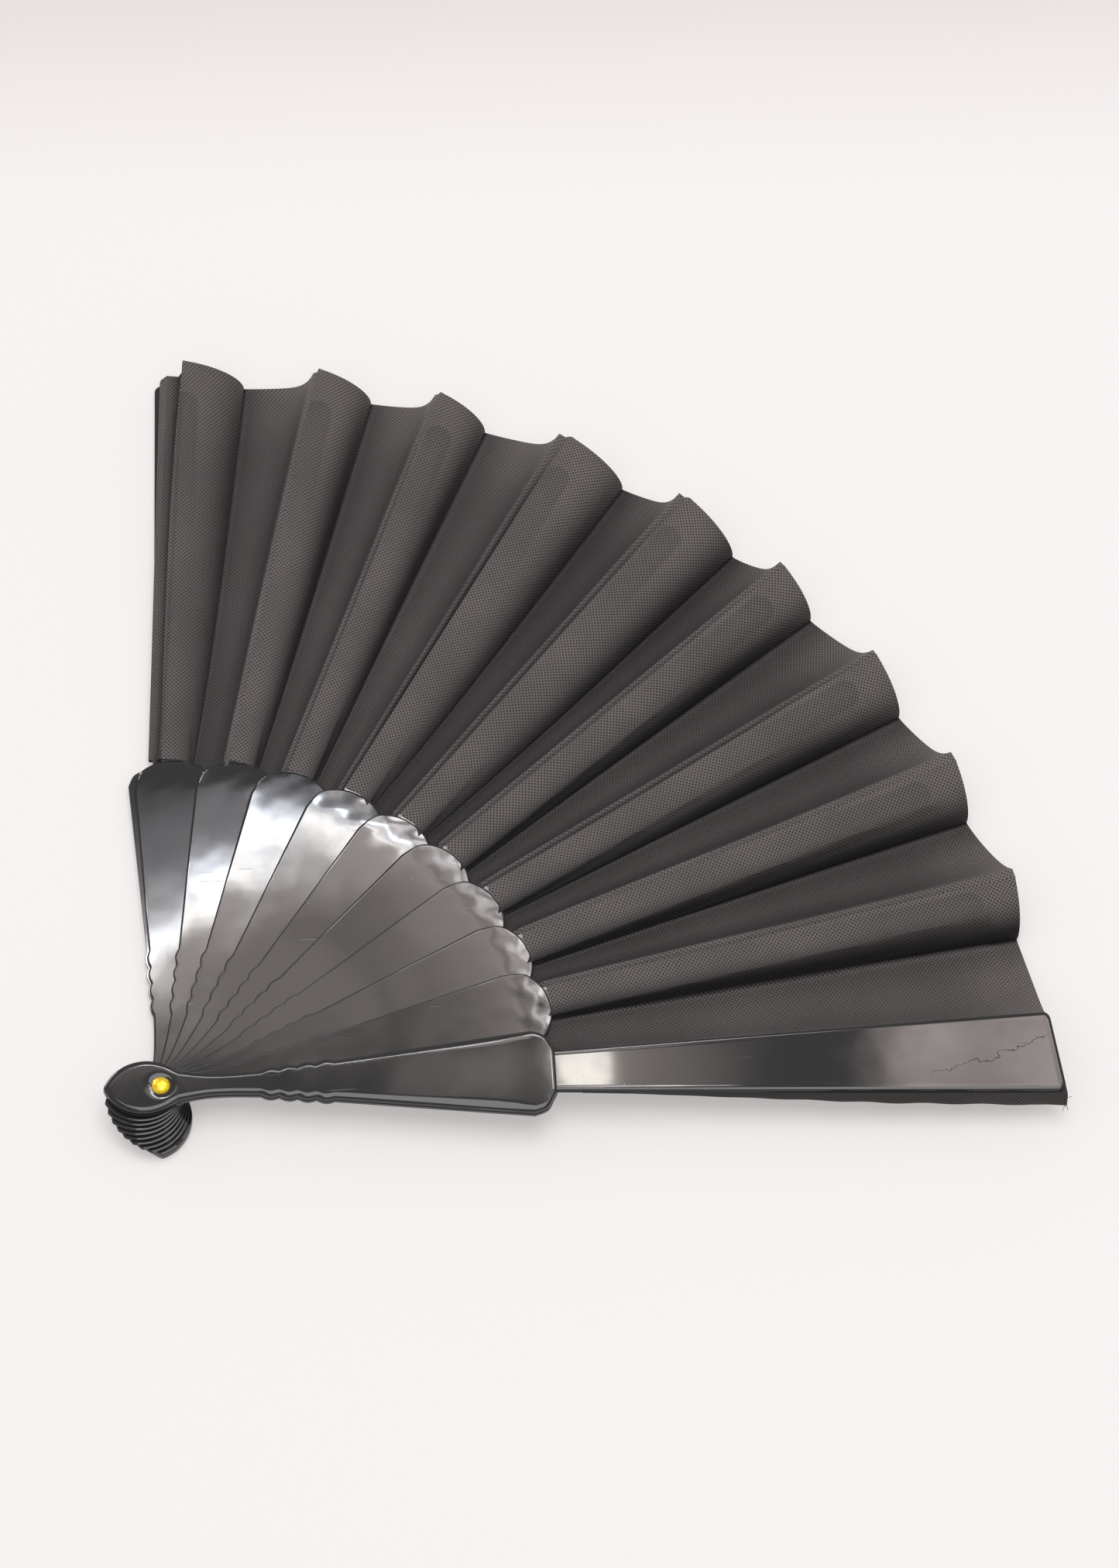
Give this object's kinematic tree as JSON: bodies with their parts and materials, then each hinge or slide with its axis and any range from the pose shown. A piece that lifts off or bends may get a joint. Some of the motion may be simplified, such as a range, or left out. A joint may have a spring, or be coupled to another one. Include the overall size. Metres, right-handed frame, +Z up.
{
  "type": "folding hand fan",
  "caption": "Folding hand fan with moulded plastic sticks and guards on one rivet and a pleated mesh fabric leaf.",
  "frame": {"origin": "on the pivot axis, level with the flat face of the rear guard that lies on the table", "axes": "+X along the front guard, +Z up through the rivet out of the front guard's face; the fan opens anticlockwise to the rear guard near +Y"},
  "size_m": [0.2287, 0.2288, 0.0132],
  "materials": {
    "black_plastic": "glossy moulded",
    "leaf_fabric": "thin warp-knit mesh",
    "gilt_metal": "polished gilt",
    "rivet_metal": "polished gilt"
  },
  "bodies": {
    "rear_guard": {"rear_guard": "black_plastic", "pivot_rivet": "gilt_metal", "rivet_cap": "rivet_metal", "leaf_pleat_1": "leaf_fabric"},
    "stick_1": {"stick_1": "black_plastic", "leaf_pleat_2": "leaf_fabric"},
    "stick_2": {"stick_2": "black_plastic", "leaf_pleat_3": "leaf_fabric"},
    "stick_3": {"stick_3": "black_plastic", "leaf_pleat_4": "leaf_fabric"},
    "stick_4": {"stick_4": "black_plastic", "leaf_pleat_5": "leaf_fabric"},
    "stick_5": {"stick_5": "black_plastic", "leaf_pleat_6": "leaf_fabric"},
    "stick_6": {"stick_6": "black_plastic", "leaf_pleat_7": "leaf_fabric"},
    "stick_7": {"stick_7": "black_plastic", "leaf_pleat_8": "leaf_fabric"},
    "stick_8": {"stick_8": "black_plastic", "leaf_pleat_9": "leaf_fabric"},
    "stick_9": {"stick_9": "black_plastic", "leaf_pleat_10": "leaf_fabric"},
    "front_guard": {"front_guard": "black_plastic", "leaf_end": "leaf_fabric"}
  },
  "joints": [
    {"name": "stick_1_spread", "type": "hinge", "parent": "rear_guard", "child": "stick_1", "pos_m": [0, 0, 0], "axis": [0, 0, 1], "range_deg": [-10.8, 0.4], "deforming": ["leaf_pleat_1"]},
    {"name": "stick_2_spread", "type": "hinge", "parent": "stick_1", "child": "stick_2", "pos_m": [0, 0, 0], "axis": [0, 0, 1], "range_deg": [-1.5, 10.1], "deforming": ["leaf_pleat_2"]},
    {"name": "stick_3_spread", "type": "hinge", "parent": "stick_2", "child": "stick_3", "pos_m": [0, 0, 0], "axis": [0, 0, 1], "range_deg": [-1.39, 9.31], "deforming": ["leaf_pleat_3"]},
    {"name": "stick_4_spread", "type": "hinge", "parent": "stick_3", "child": "stick_4", "pos_m": [0, 0, 0], "axis": [0, 0, 1], "range_deg": [-1.44, 9.61], "deforming": ["leaf_pleat_4"]},
    {"name": "stick_5_spread", "type": "hinge", "parent": "stick_4", "child": "stick_5", "pos_m": [0, 0, 0], "axis": [0, 0, 1], "range_deg": [-1.47, 9.81], "deforming": ["leaf_pleat_5"]},
    {"name": "stick_6_spread", "type": "hinge", "parent": "stick_5", "child": "stick_6", "pos_m": [0, 0, 0], "axis": [0, 0, 1], "range_deg": [-1.35, 9.01], "deforming": ["leaf_pleat_6"]},
    {"name": "stick_7_spread", "type": "hinge", "parent": "stick_6", "child": "stick_7", "pos_m": [0, 0, 0], "axis": [0, 0, 1], "range_deg": [-1.41, 9.41], "deforming": ["leaf_pleat_7"]},
    {"name": "stick_8_spread", "type": "hinge", "parent": "stick_7", "child": "stick_8", "pos_m": [0, 0, 0], "axis": [0, 0, 1], "range_deg": [-1.45, 9.71], "deforming": ["leaf_pleat_8"]},
    {"name": "stick_9_spread", "type": "hinge", "parent": "stick_8", "child": "stick_9", "pos_m": [0, 0, 0], "axis": [0, 0, 1], "range_deg": [-1.42, 9.51], "deforming": ["leaf_pleat_9"]},
    {"name": "front_guard_spread", "type": "hinge", "parent": "stick_9", "child": "front_guard", "pos_m": [0, 0, 0], "axis": [0, 0, 1], "range_deg": [-1.76, 11.81], "deforming": ["leaf_pleat_10"]}
  ],
  "couplings": [
    {"joint": "stick_3_spread", "follows": "stick_2_spread", "ratio": 0.92079},
    {"joint": "stick_4_spread", "follows": "stick_2_spread", "ratio": 0.9505},
    {"joint": "stick_5_spread", "follows": "stick_2_spread", "ratio": 0.9703},
    {"joint": "stick_6_spread", "follows": "stick_2_spread", "ratio": 0.89109},
    {"joint": "stick_7_spread", "follows": "stick_2_spread", "ratio": 0.93069},
    {"joint": "stick_8_spread", "follows": "stick_2_spread", "ratio": 0.9604},
    {"joint": "stick_9_spread", "follows": "stick_2_spread", "ratio": 0.94059},
    {"joint": "front_guard_spread", "follows": "stick_2_spread", "ratio": 1.1683}
  ]
}
